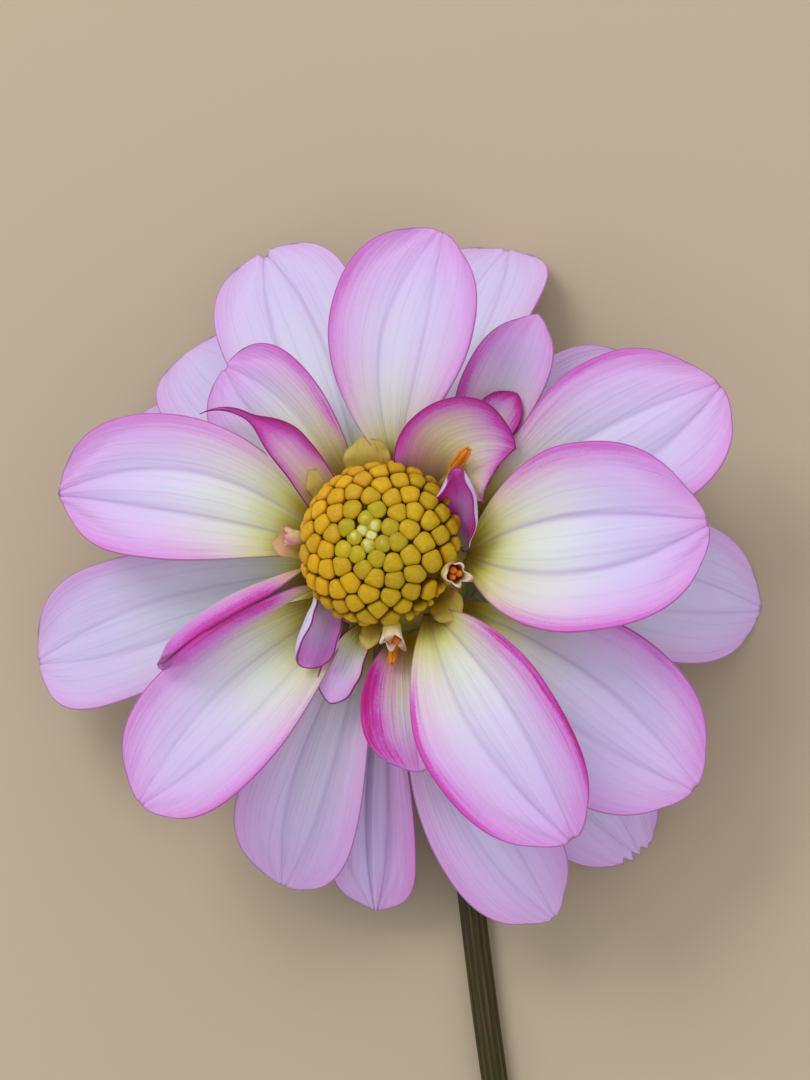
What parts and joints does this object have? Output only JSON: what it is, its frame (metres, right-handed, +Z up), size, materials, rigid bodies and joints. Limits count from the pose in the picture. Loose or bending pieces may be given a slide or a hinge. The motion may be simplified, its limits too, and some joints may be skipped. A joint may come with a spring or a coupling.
{
  "type": "dahlia flower",
  "caption": "Semi-double dahlia lying on its back on a surface, with layered lilac petals round a domed yellow disc and a bent, ribbed stem.",
  "frame": {"origin": "middle of the box's underside, on the surface that the flower lies on", "axes": "+Z up out of the face of the flower, -Y along the stem, +X to the flower's right"},
  "size_m": [0.1114, 0.2014, 0.0379],
  "materials": {
    "petal_outer": "satin, pale lilac with fine veins",
    "petal_face": "satin, lavender with magenta margins",
    "petal_deep": "satin, magenta with dark edges",
    "scale_chaff": "satin, pale yellow",
    "floret_open": "satin, cream",
    "floret_bud": "satin, yellow-green",
    "bract_green": "satin green",
    "bract_papery": "dry, translucent olive",
    "stem_skin": "ribbed, olive-brown"
  },
  "bodies": {
    "root": {"disc_florets": "floret_bud", "open_floret_01": "floret_open", "open_floret_02": "floret_open", "papery_bracts": "bract_papery", "petaloid_01": "petal_deep", "petaloid_02": "petal_deep", "petaloid_03": "petal_deep", "ray_back_01": "petal_outer", "ray_back_02": "petal_outer", "ray_back_03": "petal_outer", "ray_back_04": "petal_outer", "ray_back_05": "petal_outer", "ray_back_06": "petal_outer", "ray_back_07": "petal_outer", "ray_back_08": "petal_outer", "ray_back_09": "petal_outer", "ray_back_10": "petal_outer", "ray_back_11": "petal_outer", "ray_fold_01": "petal_deep", "ray_fold_02": "petal_deep", "ray_front_01": "petal_face", "ray_front_02": "petal_face", "ray_front_03": "petal_face", "ray_front_04": "petal_face", "ray_front_05": "petal_face", "ray_hood_01": "petal_deep", "ray_mid_01": "petal_face", "ray_mid_02": "petal_face", "ray_mid_03": "petal_face", "ray_mid_04": "petal_face", "ray_mid_05": "petal_face", "ray_small_01": "petal_deep", "receptacle_and_green_bracts": "bract_green", "scale_01": "scale_chaff", "scale_02": "scale_chaff", "scale_03": "scale_chaff", "scale_04": "scale_chaff", "scale_05": "scale_chaff", "stem": "stem_skin"}
  },
  "joints": []
}
